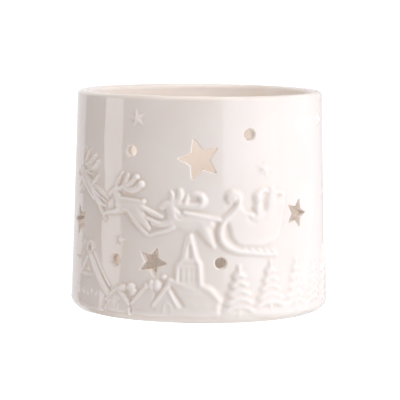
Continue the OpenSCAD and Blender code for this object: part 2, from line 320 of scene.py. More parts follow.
def middle_reindeer(r):
    r.rods([
        [(-27, 37, 1.9), (-24.4, 36.7, 2.3), (-21, 36.4, 2.2), (-19, 36.8, 1.8)],  # body
        [(-26.6, 37.8, 1.8), (-27.8, 39.8, 1.6), (-28.2, 41.4, 1.4)],  # neck
        [(-27.8, 41.8, 1.4), (-29.6, 40.8, 1.2), (-31, 39.8, 0.8)],  # head
        [(-20.6, 36, 2.1), (-18.8, 33.8, 1.8), (-17, 31.6, 1.3), (-15.8, 29.8, 0.7)],  # hind legs
        [(-22, 34.8, 1.6), (-20, 31.8, 1.2), (-17.8, 29.4, 0.8), (-16.2, 28, 0.6)],
        [(-25.6, 35.6, 1.4), (-28.4, 34.6, 1.1), (-31.4, 34.1, 0.85), (-32.8, 33.6, 0.7)],  # foreleg
    ], 1.25)
    r.rods([
        [(-26, 38.9, 0.7), (-22.4, 38.5, 0.8), (-18.4, 38.1, 0.7)],  # back strap
        [(-28, 42.4, 0.8), (-27.4, 44.4, 0.9), (-25.7, 47, 0.4)],  # ear
        [(-26.4, 42, 0.8), (-24.4, 43.4, 0.85), (-23.4, 46.4, 0.6)],  # antlers
        [(-24.6, 42.4, 0.8), (-22.2, 43.8, 0.95), (-20.4, 46, 0.75)],
        [(-24.4, 41.8, 0.8), (-21.4, 41.8, 1.1), (-18.6, 43.4, 1)],
    ], 1.1)
    r.blob(-18.7, 43.6, 1.3, 1.2, 1.35)
    r.blob(-20.3, 45.8, 1, 0.9, 1.2)
    r.blob(-17.8, 38.3, 0.9, 0.85, 1.25)


def rear_reindeer(r):
    r.rods([
        [(-7.8, 33.2, 2), (-4.6, 32.5, 2.5), (-0.8, 32.2, 2.4), (3, 32, 2)],  # body
        [(-7.4, 34.2, 2), (-8.4, 36, 1.7), (-8.8, 37.4, 1.5)],  # neck
        [(-8.4, 38, 1.5), (-10.2, 37.6, 1.3), (-11.8, 36.8, 0.9)],  # head
        [(0.8, 31.8, 2.4), (2, 29.4, 2), (3.2, 27, 1.4), (4.5, 24.8, 0.7)],  # hind legs
        [(-8.4, 32.4, 1.4), (-11.4, 31.4, 1), (-14.6, 31.8, 0.75)],  # forelegs
    ], 1.35)
    r.rods([
        [(-8, 31, 1.1), (-10, 29.8, 0.8), (-13, 28.8, 0.6), (-15.6, 27.8, 0.45)],
        [(-4.6, 35.2, 0.7), (-1.6, 34.5, 0.8), (2, 33.8, 0.8), (6.4, 32.9, 0.75)],  # back strap
        [(-8.6, 39, 0.7), (-8.2, 40.4, 0.65), (-8.8, 41.8, 0.4)],  # antlers
        [(-8, 38.8, 0.9), (-6.6, 39, 1), (-5.8, 40.4, 1.15), (-5.9, 42.2, 0.8)],
        [(-7, 37.8, 0.9), (-4.4, 37.4, 0.9), (-2, 37.3, 0.9), (0.4, 37.7, 1.1), (1.3, 39, 1.2)],
        [(1.2, 39, 1.2), (0.6, 40.5, 1), (-1, 41, 0.85), (-2.2, 40.8, 0.6)],
        [(-4.2, 37.6, 0.7), (-3.9, 39.4, 0.6), (-3.4, 40.8, 0.4)],
    ], 1.2)
    r.groove([(-6.8, 34.9, 0.4), (-6.6, 33.9, 0.45), (-5.2, 33.5, 0.45), (-4.2, 34.2, 0.4)], 0.5)  # harness


def reins(r):
    r.rods([
        [(-38, 42.2, 0.7), (-34.8, 40.4, 0.8), (-31.4, 38.6, 0.7)],
        [(-37.6, 40.6, 0.5), (-34.8, 38.9, 0.55), (-32.4, 37.4, 0.5)],
        [(-19, 36.9, 0.75), (-15.5, 35.3, 0.8), (-11.8, 33.8, 0.7)],
        [(-16.6, 33.4, 0.5), (-14.2, 32.4, 0.6), (-10, 31.2, 0.5)],
    ], 0.95)


def sleigh(r):
    r.plate([(8.2, 33.2), (9.4, 30), (9.8, 27.6), (11.8, 25.4), (14, 24.6), (20, 24.3), (24.2, 25.3),
             (26.8, 27.6), (28.2, 32), (28.6, 39.6), (27.4, 40.4), (24, 37), (14.6, 35.4), (13.2, 38.6),
             (12, 39), (10.6, 35.8)], 0.95, 1)  # tub
    r.rods([
        [(9.6, 38.8, 0.8), (9, 39.8, 0.9), (9.6, 41, 1), (11, 41.5, 1.1), (12.4, 40.6, 1.15),
         (12.6, 39, 1.05), (11.8, 36.9, 1), (10.1, 34.8, 1), (8.2, 33, 1.1), (7, 31, 1.2),
         (6.6, 28.6, 1.3), (7.2, 26.4, 1.3), (9, 24.6, 1.25), (11.6, 23.4, 1.1),
         (15, 22.7, 0.85), (20, 22, 0.7), (25.8, 21.5, 0.55)],  # dash, runner
    ], 1.4)
    r.blob(10.8, 39.9, 1.7, 1.5, 1.4, 20)
    for x in (14.8, 17.2, 19.6, 22, 24.4):  # struts
        r.blob(x, 23.3 - 0.05 * (x - 14), 1.5, 0.65, 1, -32)
    r.rods([
        [(13.4, 35.6, 0.5), (18, 34.4, 0.6), (23, 34.6, 0.6), (28, 38, 0.6)],  # rail
        [(24.4, 41, 0.6), (27, 41.2, 0.8), (28.6, 39.8, 0.8), (28.4, 36, 0.6)],  # back
    ], 1.1)


def driver_and_sack(r):
    r.blob(19, 35.4, 2.2, 3.6, 1.35, -6)  # coat
    r.blob(18.9, 39.8, 1.8, 2, 1.45)  # hood
    r.rod([(19.4, 41.2, 1.1), (21, 42.1, 0.75), (22.2, 41.7, 0.5)], 1.15)
    r.rod([(19, 37, 1.2), (16.8, 34.4, 1.1), (14.4, 34.6, 0.9)], 1.3)  # arm
    r.rod([(22.8, 33.8, 2.3), (23.9, 36, 2.9), (23.9, 38.8, 2.2),
           (23.7, 40.4, 1.2), (24.2, 41.8, 1.4)], 1.35)  # sack
    r.groove([(15.5, 37.6, 0.6), (16.6, 36.2, 0.75), (17.7, 34.8, 0.5)], 0.9)
    r.groove([(15.2, 34.2, 0.4), (16.2, 32.8, 0.5), (18, 32.2, 0.4)], 0.5)
    r.groove([(20.9, 39.8, 0.5), (21, 37.8, 0.8), (20.9, 35.6, 0.5)], 1)


def church(r):
    tower = [(-6.9, 9), (1, 9), (1, 19.4), (-6.9, 19.4)]
    spire = [(-6.4, 19), (1, 19), (-0.6, 20.6), (-1.8, 28.4), (-3.6, 28.4), (-5.4, 20.6)]
    nave = [(-8.8, 13.8), (-1, 10.6), (1, 12.4), (4, 10.6), (6.8, 7.4), (6.4, 2.8), (-13.4, 2.8),
            (-13.8, 6.4)]
    r.plate(tower, 0.85, 0.7)
    r.plate(spire, 1.1, 1.6)
    r.plate(nave, 0.7, 0.7)
    r.rods([
        [(-2.6, 28.2, 0.7), (-1.9, 25, 0.85), (-1, 21.4, 0.9), (0, 19.4, 0.85)],  # spire's edges
        [(-3.2, 27.8, 0.5), (-4, 23.6, 0.6), (-5, 20.4, 0.6), (-6.4, 19, 0.5)],
        [(0.2, 19.4, 0.85), (0.4, 15.6, 0.9), (0.5, 12.6, 1)],  # tower's corner
        [(-6.5, 18.4, 0.5), (-6.6, 14, 0.5)],
    ], 1.3)
    r.rods([
        [(-8.7, 14, 0.8), (-5.6, 12.9, 0.9), (-1.4, 11.2, 0.8)],  # snow on the nave
        [(0.6, 12.4, 1.1), (3.4, 10.9, 1.3), (6.2, 7.9, 1.15)],
        [(-8.8, 13.4, 0.75), (-11, 9.8, 0.75), (-13.8, 6.2, 0.8)],
        [(-9, 10.6, 0.5), (-7.6, 8, 0.6), (-6.2, 5.4, 0.5)],
    ], 1.25)
    for x in (-5.6, -3.9, -2.3, -1):  # tower windows
        r.groove([(x, 13.8, 0.45), (x, 17.6, 0.4)], 0.45)
    r.groove([(-2.8, 21.4, 0.75), (-2.8, 25, 0.5)], 0.7)  # dormer
    r.groove([(-8.3, 11.8, 0.5), (-6.4, 8.8, 0.65), (-4.6, 6, 0.6)], 0.6)
    r.rod([(-10.6, 3.6, 0.5), (-10.4, 6, 0.55), (-9.4, 6.9, 0.6), (-8.4, 6, 0.5), (-8.3, 3.6, 0.5)], 1.1)
    for x, y in ((-1.4, 6.8), (2.4, 6.4), (5.6, 5.6), (-4.2, 4.4)):  # side windows
        r.blob(x, y, 0.95, 1.25, 1.15)
        r.groove([(x, y - 0.4, 0.35), (x, y + 0.4, 0.35)], 0.4)
    r.rod([(-7.6, 4.2, 0.6), (-3, 3.6, 0.7), (2, 3.4, 0.7), (6, 4, 0.6)], 1.05)


def left_village(r):
    house = [(-39.6, 20.4), (-47, 10.2), (-46, 5.6), (-43, 3.2), (-33, 3), (-30.4, 8.6)]
    r.plate(house, 0.7, 1)
    r.rods([
        [(-39.4, 20, 1.3), (-36.2, 15.4, 1.45), (-32.8, 10.8, 1.45), (-30.6, 8.6, 1.2)],  # thick roof edge
        [(-40.6, 19.2, 0.7), (-44, 14.8, 0.75), (-47.2, 10, 0.7)],
        [(-46.6, 6.6, 0.6), (-44.8, 4, 0.65), (-40, 3.4, 0.65), (-33.4, 3.2, 0.6)],
        [(-45, 13.8, 0.5), (-41, 13.6, 0.6), (-37.6, 13.6, 0.5)],  # beam
    ], 1.25)
    r.rod([(-37.8, 21, 0.35), (-34.2, 16.2, 0.45), (-29.8, 10.8, 0.4)], 0.7)
    round_it = np.linspace(0, 2 * math.pi, 9)
    r.rod([(-39.7 + 1.5 * math.cos(a), 22.3 + 1.7 * math.sin(a), 0.6) for a in round_it], 0.95)  # smoke
    for x, y, rx, ry in ((-40.2, 15.4, 0.8, 1), (-42.6, 8, 0.9, 1.2), (-38.3, 8.4, 0.8, 1.1),
                         (-36, 7.8, 0.7, 1.1), (-40.4, 7.6, 0.7, 0.9), (-43.5, 23.2, 1, 1.1),
                         (-46.6, 19.6, 1.4, 0.9), (-48.8, 18.8, 1.1, 0.8)):
        r.blob(x, y, rx, ry, 1.05)
    r.plate([(-26.6, 10.6), (-31.4, 6.8), (-30.6, 2.8), (-22.6, 2.8), (-22, 7)], 0.6, 0.7)  # small cottage
    r.rods([
        [(-26.6, 10.6, 0.75), (-29, 8.7, 0.75), (-31.2, 6.6, 0.7)],
        [(-26.4, 10.4, 0.65), (-24, 8, 0.7), (-22.4, 5.6, 0.6)],
        [(-28.6, 7.2, 0.45), (-27, 8, 0.5), (-25.4, 7.5, 0.45)],
        [(-29, 3.6, 0.55), (-28.8, 5.2, 0.75)], [(-26.4, 3.6, 0.55), (-26.2, 5.4, 0.75)],
    ], 1.1)
    for x, y, rx, ry in ((-24.8, 10.8, 1.8, 1.2), (-21.7, 11.2, 1.6, 1.3), (-20.8, 9.8, 1.3, 1.3)):
        r.blob(x, y, rx, ry, 1.25)  # snowy bushes
    r.plate([(-21.6, 6.2), (-16.4, 11.4), (-13.6, 10.6), (-13, 3), (-21, 2.8)], 0.55, 0.7)  # long house
    r.rods([
        [(-21.2, 6.2, 0.6), (-18.8, 8.8, 0.7), (-16.5, 11.4, 0.65)],
        [(-22.2, 2.8, 0.8), (-22.2, 4.4, 0.6)],
        [(-20.6, 3.4, 0.75), (-16, 3.3, 0.8), (-11.2, 3.5, 0.7)],
    ], 1)
    for x, y, rx, ry in ((-12.9, 12.2, 1.5, 1.8), (-14.6, 12.2, 1.2, 1.7), (-16.2, 11.8, 0.9, 1.1),
                         (-10.6, 15, 0.8, 0.8)):
        r.blob(x, y, rx, ry, 1.3)


def fir(r, x, y, height, width):
    """Snow-laden boughs: tiers of broad lobes that droop outwards, widest at the foot."""
    half = width / 2
    skirt, skirt_y = 0.85 * half, y + 0.08 * height
    r.plate([(x - skirt, skirt_y), (x + skirt, skirt_y), (x, y + height)], 0.6, 1.4)
    r.rod([(x, y - 0.4, 0.7), (x, y + 0.2 * height, 0.6)], 0.7)
    tiers = 5
    for i in range(tiers):
        reach = half * (1 - 0.17 * i)
        foot = y + height * (0.07 + 0.17 * i)
        for side in (-1, -0.36, 0.36, 1):
            r.blob(x + 0.66 * side * reach, foot + 0.075 * height * (1.5 - abs(side)), 0.42 * reach + 0.5,
                   0.062 * height, 0.95 + 0.07 * i, -24 * side)
    r.rod([(x, y + 0.8 * height, 0.95), (x, y + height, 0.45)], 1.2)


def cottage(r, x, y, width, wall_h, roof_h):
    """A gabled cottage under snow, with a door between two windows and a chimney."""
    half = width / 2
    eave, ridge = y + wall_h, y + wall_h + roof_h
    stack = (0.35 * half, 0.7 * half)
    r.plate([(x - half, y), (x + half, y), (x + half, eave), (x, ridge), (x - half, eave)], 0.65, 0.7)
    r.plate([(x + stack[0], eave + 0.3 * roof_h), (x + stack[1], eave + 0.3 * roof_h),
             (x + stack[1], ridge), (x + stack[0], ridge)], 0.85, 0.5)
    pane, sill, lintel = 0.8, y + 0.36 * wall_h, y + 0.74 * wall_h
    for side in (-1, 1):
        r.rod([(x, ridge, 0.95), (x + 0.5 * side * half, eave + 0.52 * roof_h, 1.1),
               (x + 1.12 * side * half, eave - 0.4, 0.9)], 1.25)
        mid = x + 0.55 * side * half
        corners = ((mid - pane, sill), (mid - pane, lintel), (mid + pane, lintel), (mid + pane, sill))
        for a, b in zip(corners, corners[1:] + corners[:1]):
            r.rod([(*a, 0.42), (*b, 0.42)], 0.95)
    door = ((x - 0.9, y + 0.3), (x - 0.9, y + 0.5 * wall_h), (x, y + 0.68 * wall_h),
            (x + 0.9, y + 0.5 * wall_h), (x + 0.9, y + 0.3))
    r.rod([(*p, 0.42) for p in door], 0.95)
    r.blob(x, eave + 0.4 * roof_h, 0.8, 0.8, 1)
    r.rod([(x - half - 1, y - 0.1, 0.7), (x, y + 0.3, 0.9), (x + half + 1, y - 0.1, 0.7)], 0.95)


def snow_banks(r):
    """Low drifts along the foot of the firs and the cottages at the back."""
    rng = np.random.default_rng(4)
    x = 12.0
    while x < DRUM.girth - 66:
        width = rng.uniform(4.5, 8)
        r.blob(x, 3 + rng.uniform(-0.3, 0.6), width, rng.uniform(1.4, 2.2), rng.uniform(0.5, 0.75))
        x += width * rng.uniform(0.8, 1.3)


def frieze():
    """The whole relief."""
    r = Relief()
    snow_banks(r)
    for house in BACK_COTTAGES:
        cottage(r, *house)
    for tree in FIRS:
        fir(r, *tree)
    left_village(r)
    church(r)
    sleigh(r)
    driver_and_sack(r)
    reins(r)
    lead_reindeer(r)
    middle_reindeer(r)
    rear_reindeer(r)
    for star in RAISED_STARS:
        r.star(*star)
    r.finish()
    return r


FRIEZE = frieze()


def glaze_waves(x, y):
    """The slow unevenness of a hand-cast, dipped wall, in whole numbers of waves round it."""
    turn = 2 * math.pi * x / DRUM.girth
    return (0.020 * np.sin(17 * turn + 0.9 * np.sin(y / 9) + 1.3) * np.sin(y / 6.1 + 0.4)
            + 0.013 * np.sin(29 * turn + 2.1) * np.sin(y / 3.9 + 1.1 + 2 * np.sin(3 * turn))
            + 0.014 * np.sin(y / 4.6 + 1.5 * np.sin(5 * turn + 0.7)) + 0.03 * np.sin(3 * turn + 0.4))


def wall_point(x, t, drop=0):
    """The finished outside surface at places on the unrolled wall."""
    r, z, nr, nz = wall_profile(t)
    rim_fade, foot_fade, bare = 6, 2, 1        # waves and relief die away towards the rim and the foot
    fade = np.clip((DRUM.wall_top - t) / rim_fade, 0, 1) * np.clip((t - DRUM.foot_t) / foot_fade, 0, 1)
    h = FRIEZE.sample(FRIEZE.h, x, z) * np.clip((t - DRUM.foot_t - bare) / foot_fade, 0, 1)
    h = h + fade * glaze_waves(x, t) - drop
    angle = x / DRUM.mean_r
    r = r + nr * h
    return np.column_stack([r * np.sin(angle), -r * np.cos(angle), z + nz * h])


def wall_normal(x, t):
    """The finished outside surface's normal, from its slopes over a short step."""
    e = 0.08
    across = wall_point(x + e, t) - wall_point(x - e, t)
    up = wall_point(x, t + e) - wall_point(x, t - e)
    n = np.cross(across, up)
    return n / np.linalg.norm(n, axis=1)[:, None]


def inside_point(x, t, drop=0):
    """The inside wall, which only the piercings break."""
    r = wall_r(t) - DRUM.wall + drop
    angle = x / DRUM.mean_r
    return np.column_stack([r * np.sin(angle), -r * np.cos(angle), t])


# ---- Piercings: outlines with rounded corners, and the rounding of their edges ----

STAR_EDGE = 0.45
HOLE_EDGE = 0.65
EDGE_STEPS = 4
TIP_ROUND = 0.25
NOTCH_ROUND = 0.6
TIP_POINTS = 5         # points in the arc at a star's tip
NOTCH_POINTS = 4
SIDE_PARTS = 6         # parts that each straight side is cut into


def star_outline(points, grow):
    """A closed outline, anticlockwise, with an arc at each corner, grown outwards. Every grow gives as many
    points, and tips take turns with notches."""
    n = len(points)
    arcs = []
    for i in range(n):
        before, here, after = points[i - 1], points[i], points[(i + 1) % n]
        u = (before - here) / np.linalg.norm(before - here)
        v = (after - here) / np.linalg.norm(after - here)
        half = math.acos(np.clip(u @ v, -1, 1)) / 2
        middle = (u + v) / np.linalg.norm(u + v)
        tip = i % 2 == 0
        corner_r = TIP_ROUND if tip else NOTCH_ROUND
        centre = here + middle * corner_r / math.sin(half)
        r = corner_r + grow if tip else corner_r - grow
        start = math.atan2(-middle[1], -middle[0])
        sweep = (math.pi / 2 - half) * (1 if tip else -1)
        a = start + sweep * np.linspace(-1, 1, TIP_POINTS if tip else NOTCH_POINTS)
        arcs.append(centre + r * np.column_stack([np.cos(a), np.sin(a)]))
    out = []
    for arc, following in zip(arcs, arcs[1:] + arcs[:1]):
        out.extend(arc)
        a, b = arc[-1], following[0]
        out.extend(a + (b - a) * k / SIDE_PARTS for k in range(1, SIDE_PARTS))
    return np.array(out)


def circle_outline(radius):
    """A closed round outline, anticlockwise."""
    q = np.linspace(0, 2 * math.pi, 32, endpoint=False)
    return radius * np.column_stack([np.cos(q), np.sin(q)])


def piercing_rings(surface_r):
    """For each piercing, its edge on a surface: rings of (x, t) places, from the surface in to the cut face,
    and how far each ring is below the surface."""
    out = []
    for x0, y0, *star in STARS + HOLES:
        x0, y0 = on_wall(x0, y0)
        edge = STAR_EDGE if star else HOLE_EDGE
        rings = []
        for a in np.linspace(0, math.pi / 2, EDGE_STEPS):
            grow = edge * (1 - math.sin(a))
            if star:
                flat = star_outline(star_points(star[0], star[1], STAR_WAIST) * [GROW_X, GROW_Y], grow)
            else:
                flat = circle_outline(HOLE_R + grow)
            t = y0 + flat[:, 1]
            x = x0 + DRUM.mean_r * np.arcsin(flat[:, 0] / surface_r(t))
            rings.append((np.column_stack([x, t]), edge * (1 - math.cos(a))))
        out.append(rings)
    return out


# ---- The skin ----

COLUMNS = 108          # the coarsest lattice has this many points round the wall
LEVELS = 4             # and each finer one halves its spacing
OUTER_ROWS = 62        # points up the seam at the back, outside
INNER_ROWS = 30        # and inside
TOLERANCE = 0.014      # how far a triangle may miss the relief
RING_GAP = 0.14        # places closer than this to a piercing's edge are dropped
NEAR = 9               # no piercing reaches further than this from its middle


def lattice():
    """A triangular lattice over the wall at the finest spacing, with each point's level: 0 is coarsest."""
    fine = COLUMNS * 2**LEVELS
    dx = DRUM.girth / fine
    span = DRUM.wall_top - DRUM.foot_t
    rows = round(span / (dx * math.sqrt(3) / 2) / 2**LEVELS) * 2**LEVELS
    j, i = np.mgrid[0:rows + 1, 0:fine]
    level = np.full(i.shape, LEVELS)
    ii, jj = i.copy(), j.copy()
    on = np.ones(i.shape, bool)
    for k in range(LEVELS - 1, -1, -1):
        odd = (jj // 2) % 2
        on &= (jj % 2 == 0) & ((ii + odd) % 2 == 0)
        level[on] = k
        ii, jj = np.where(on, (ii - odd) // 2, 1), np.where(on, jj // 2, 1)
    x = -DRUM.girth / 2 + dx * (i + 0.5 * (j % 2))
    return x, DRUM.foot_t + span / rows * j, level


def wanted_level(height):
    """How fine the lattice has to be at each place for triangles to follow the relief."""
    need = np.zeros(height.shape, int)
    for k in range(1, LEVELS + 1):
        step = 2**(LEVELS - k)
        around = np.abs(np.roll(height, step, 1) + np.roll(height, -step, 1) - 2 * height)
        up = np.zeros_like(height)
        s = 2 * step
        up[s:-s] = np.abs(height[2 * s:] + height[:-2 * s] - 2 * height[s:-s]) / 3
        rough = np.maximum(around, up) / 2 > TOLERANCE * (1 if k < LEVELS else 2.2)
        bad = rough.copy()
        for axis in (0, 1):
            for shift in range(-step, step + 1, max(1, step // 2)):
                bad |= np.roll(rough, shift, axis)
        need[bad] = k
    return need


def clear_of_rings(points, rings):
    """The places that are far enough from every piercing to be points of their own."""
    keep = np.ones(len(points), bool)
    for piercing in rings:
        ring = piercing[0][0]
        near = np.flatnonzero((np.abs(points - ring.mean(axis=0)) < NEAR).all(axis=1))
        p = points[near]
        outside = inside_depth(p[:, 0], p[:, 1], ring) <= 0
        gap = np.linalg.norm(p[:, None] - ring[None], axis=2).min(axis=1)
        keep[near] = outside & (gap > RING_GAP)
    return points[keep]


def triangulate(points, rings):
    """Triangles over places on the wall, with the piercings' rings as edges and nothing inside them."""
    co = np.vstack([points] + [ring for piercing in rings for ring, _ in piercing])
    edges = []
    base = len(points)
    for piercing in rings:
        for ring, _ in piercing:
            n = len(ring)
            edges.extend((base + k, base + (k + 1) % n) for k in range(n))
            base += n
    verts, _, faces, source, _, _ = delaunay_2d_cdt([Vector(c) for c in co], edges, [], 0, 1e-7, True)
    if len(verts) != len(co):
        raise RuntimeError("the triangulation added or joined points")
    tris = np.array([s[0] for s in source])[np.array(faces)]
    mid = co[tris].mean(axis=1)
    keep = np.ones(len(tris), bool)
    for piercing in rings:
        outline = piercing[-1][0]
        near = (np.abs(mid - outline.mean(axis=0)) < NEAR).all(axis=1)
        keep[near] &= inside_depth(mid[near, 0], mid[near, 1], outline) <= 0
    return co, tris[keep]


def row_places(t):
    """A row of places at the lattice's coarsest spacing, from the seam round."""
    x = -DRUM.girth / 2 + DRUM.girth * np.arange(COLUMNS) / COLUMNS
    return np.column_stack([x, np.full(COLUMNS, t)])


def wrapped(low, high, seam_rows, middle, rings):
    """A wall between two heights, triangulated and joined at the back, from the places between its edges.
    Returns its places, its triangles and how far each place is below the surface."""
    half = DRUM.girth / 2
    clear = 0.6            # places this close to the seam are left to the seam's own column
    middle = middle[np.abs(middle[:, 0]) < half - clear]
    heights = np.linspace(low, high, seam_rows)[1:-1]
    seam = np.column_stack([np.full(len(heights), -half), heights])
    edges = np.vstack([row_places(low), row_places(high)])
    at_seam = np.vstack([edges[edges[:, 0] <= -half + 1e-6], seam])
    rest = np.vstack([edges[edges[:, 0] > -half + 1e-6], clear_of_rings(middle, rings)])
    n = len(at_seam)
    co, tris = triangulate(np.vstack([at_seam, at_seam + [DRUM.girth, 0], rest]), rings)
    same = np.arange(len(co))
    same[n:2 * n] = np.arange(n)
    below = [np.full(len(ring), depth) for piercing in rings for ring, depth in piercing]
    drop = np.concatenate([np.zeros(len(co) - sum(map(len, below)))] + below)
    return co, same[tris], drop


def cut_rows(total, rings):
    """The index of each piercing's innermost ring, where the rings are the last places of a wall."""
    at = total - sum(len(ring) for piercing in rings for ring, _ in piercing)
    rows = []
    for piercing in rings:
        for ring, _ in piercing:
            last = np.arange(at, at + len(ring))
            at += len(ring)
        rows.append(last)
    return rows


def edge_row(co, t):
    """The index of a wall's edge at a height, in order round it."""
    found = np.flatnonzero((np.abs(co[:, 1] - t) < 1e-6) & (co[:, 0] < DRUM.girth / 2 - 1e-6))
    return found[np.argsort(co[found, 0])]


class Skin:
    """Collects vertices and faces, in millimetres. Rings of a turned surface have as many points each."""

    def __init__(self, columns):
        self.columns = columns
        self.co, self.faces, self.count = [], [], 0

    def add(self, co):
        self.co.append(np.asarray(co, float))
        self.count += len(co)
        return np.arange(self.count - len(co), self.count)

    def ring(self, r, z, shape=None):
        """A ring at a radius and height. shape(angle, r, z) gives both anew for every angle."""
        a = 2 * math.pi * np.arange(self.columns) / self.columns - math.pi
        if shape:
            r, z = shape(a, r, z)
        return self.add(np.column_stack([r * np.sin(a), -r * np.cos(a), np.broadcast_to(z, a.shape)]))

    def bridge(self, a, b):
        """Quads between two closed rows of as many points."""
        n = len(a)
        self.faces.extend((a[k], a[(k + 1) % n], b[(k + 1) % n], b[k]) for k in range(n))

    def cap(self, row, z):
        """Triangles from a row to a point on the axis."""
        tip = self.add([(0, 0, z)])[0]
        n = len(row)
        self.faces.extend((row[k], row[(k + 1) % n], tip) for k in range(n))

    def turned(self, profile, shape=None, first=None):
        """A turned surface through (r, z) points, from a row that is there already or from its own first."""
        row = first
        for r, z in profile:
            if r < 1e-6:
                self.cap(row, z)
                return None
            following = self.ring(r, z, shape)
            if row is not None:
                self.bridge(row, following)
            row = following
        return row


def arc(centre, radius, start, end, steps):
    """Points along an arc, in degrees."""
    return [(centre[0] + radius * math.cos(a), centre[1] + radius * math.sin(a))
            for a in np.radians(np.linspace(start, end, steps))]


def porcelain_skin():
    """The whole body as one closed surface. Also gives, for the outer wall's places, their index and where
    they are on the wall."""
    skin = Skin(COLUMNS)
    rim_t, foot_t, low_t = DRUM.wall_top, DRUM.foot_t, DRUM.floor + DRUM.cove

    outer_rings = piercing_rings(wall_r)
    x, t, level = lattice()
    height = FRIEZE.sample(FRIEZE.h, x, wall_profile(t)[1])
    keep = (level <= wanted_level(height)) & (t > foot_t + 0.05) & (t < rim_t - 0.05)
    middle = np.column_stack([x[keep], t[keep]])
    co, tris, drop = wrapped(foot_t, rim_t, OUTER_ROWS, middle, outer_rings)
    outer = skin.add(wall_point(co[:, 0], co[:, 1], drop))
    skin.faces.extend(map(tuple, outer[tris]))

    inner_rings = piercing_rings(lambda z: wall_r(z) - DRUM.wall)
    stagger = 0.5 * DRUM.girth / COLUMNS
    rows = np.linspace(low_t, rim_t, INNER_ROWS)
    grid = np.vstack([row_places(z) + [stagger * (k % 2), 0] for k, z in enumerate(rows)][1:-1])
    in_co, in_tris, in_drop = wrapped(low_t, rim_t, INNER_ROWS, grid, inner_rings)
    inner = skin.add(inside_point(in_co[:, 0], in_co[:, 1], in_drop))
    skin.faces.extend(map(tuple, inner[in_tris][:, ::-1]))
    for a, b in zip(cut_rows(len(co), outer_rings), cut_rows(len(in_co), inner_rings)):
        skin.bridge(outer[a], inner[b])

    rim = arc((DRUM.rim_r - DRUM.rim_round, rim_t), DRUM.rim_round, 0, 180, 19)
    last = skin.turned(rim[1:-1], first=outer[edge_row(co, rim_t)])
    skin.bridge(last, inner[edge_row(in_co, rim_t)])
    corner = wall_r(low_t) - DRUM.wall - DRUM.cove
    cove = arc((corner, low_t), DRUM.cove, 0, -90, 9)
    floor = [(r, DRUM.floor) for r in np.linspace(corner, 0, 16)[1:]]
    skin.turned(cove[1:] + floor, first=inner[edge_row(in_co, low_t)])
    lip = DRUM.ring_in - DRUM.hollow
    under = [(DRUM.ring_in, 0), (DRUM.ring_in - 0.25, 0.12), (lip, DRUM.hollow - 0.1),
             (lip - 0.5, DRUM.hollow)]
    under += [(r, DRUM.hollow) for r in np.linspace(lip - 2, 0, 12)]
    skin.turned(under, first=outer[edge_row(co, foot_t)])
    return skin, outer[drop == 0], co[drop == 0]


def mesh_object(name, co, faces, *materials):
    """A smooth-shaded object from coordinates in millimetres, with all faces turned outwards. Points that
    no face uses are left out."""
    co, faces = np.asarray(co, float), [tuple(map(int, f)) for f in faces]
    used = np.unique(np.concatenate([np.array(f) for f in faces]))
    place = np.zeros(len(co), int)
    place[used] = np.arange(len(used))
    mesh = bpy.data.meshes.new(name)
    mesh.from_pydata(co[used] * MM, [], [tuple(place[list(f)]) for f in faces])
    bm = bmesh.new()
    bm.from_mesh(mesh)
    bmesh.ops.recalc_face_normals(bm, faces=bm.faces)
    bm.to_mesh(mesh)
    bm.free()
    mesh.polygons.foreach_set("use_smooth", np.ones(len(mesh.polygons), bool))
    for material in materials:
        mesh.materials.append(material)
    piece = bpy.data.objects.new(name, mesh)
    bpy.context.scene.collection.objects.link(piece)
    return piece, place


# ---- Materials ----

NOISE_RANGE = (0.3, 0.7)       # nearly all of a noise texture's values lie between these


def new_material(name):
    """A material, its node tree and its shader."""
    m = bpy.data.materials.new(name)
    m.use_nodes = True
    return m, m.node_tree, m.node_tree.nodes["Principled BSDF"]


def add(tree, kind, **values):
    """A new node, with values for its sockets or settings."""
    node = tree.nodes.new(kind)
    for key, value in values.items():
        if key in node.inputs:
            node.inputs[key].default_value = value
        else:
            setattr(node, key, value)
    return node


def set_values(bsdf, **values):
    """Constant values, straight on the shader. A name's underscores stand for spaces."""
    for key, value in values.items():
        bsdf.inputs[key.replace("_", " ")].default_value = value


def noise(tree, scale, detail=2.0, stretch=(1, 1, 1)):
    """Noise over the object's own coordinates, in metres, which stretch makes longer or shorter each way."""
    where = add(tree, "ShaderNodeTexCoord")
    size = add(tree, "ShaderNodeMapping")
    size.inputs["Scale"].default_value = stretch
    n = add(tree, "ShaderNodeTexNoise", Scale=scale, Detail=detail)
    tree.links.new(where.outputs["Object"], size.inputs["Vector"])
    tree.links.new(size.outputs["Vector"], n.inputs["Vector"])
    return n.outputs["Fac"]


def tint(tree, factor, *colours):
    """A colour along a row of colours, by a factor from 0 to 1."""
    ramp = add(tree, "ShaderNodeValToRGB")
    steps = ramp.color_ramp.elements
    for _ in colours[2:]:
        steps.new(0.5)
    for i, colour in enumerate(colours):
        steps[i].position = i / (len(colours) - 1)
        steps[i].color = (*colour, 1)
    tree.links.new(factor, ramp.inputs["Fac"])
    return ramp.outputs["Color"]


def spread(tree, factor, low, high, from_low=0.0, from_high=1.0):
    """A number between two, by a factor."""
    m = add(tree, "ShaderNodeMapRange")
    m.inputs["From Min"].default_value = from_low
    m.inputs["From Max"].default_value = from_high
    m.inputs["To Min"].default_value = low
    m.inputs["To Max"].default_value = high
    tree.links.new(factor, m.inputs["Value"])
    return m.outputs["Result"]


def paint(tree, bsdf, factor, *colours):
    """Base colour along a row of colours, by a factor."""
    tree.links.new(tint(tree, factor, *colours), bsdf.inputs["Base Color"])


def polish(tree, bsdf, factor, low, high, *factor_range):
    """Roughness between two values, by a factor."""
    tree.links.new(spread(tree, factor, low, high, *factor_range), bsdf.inputs["Roughness"])


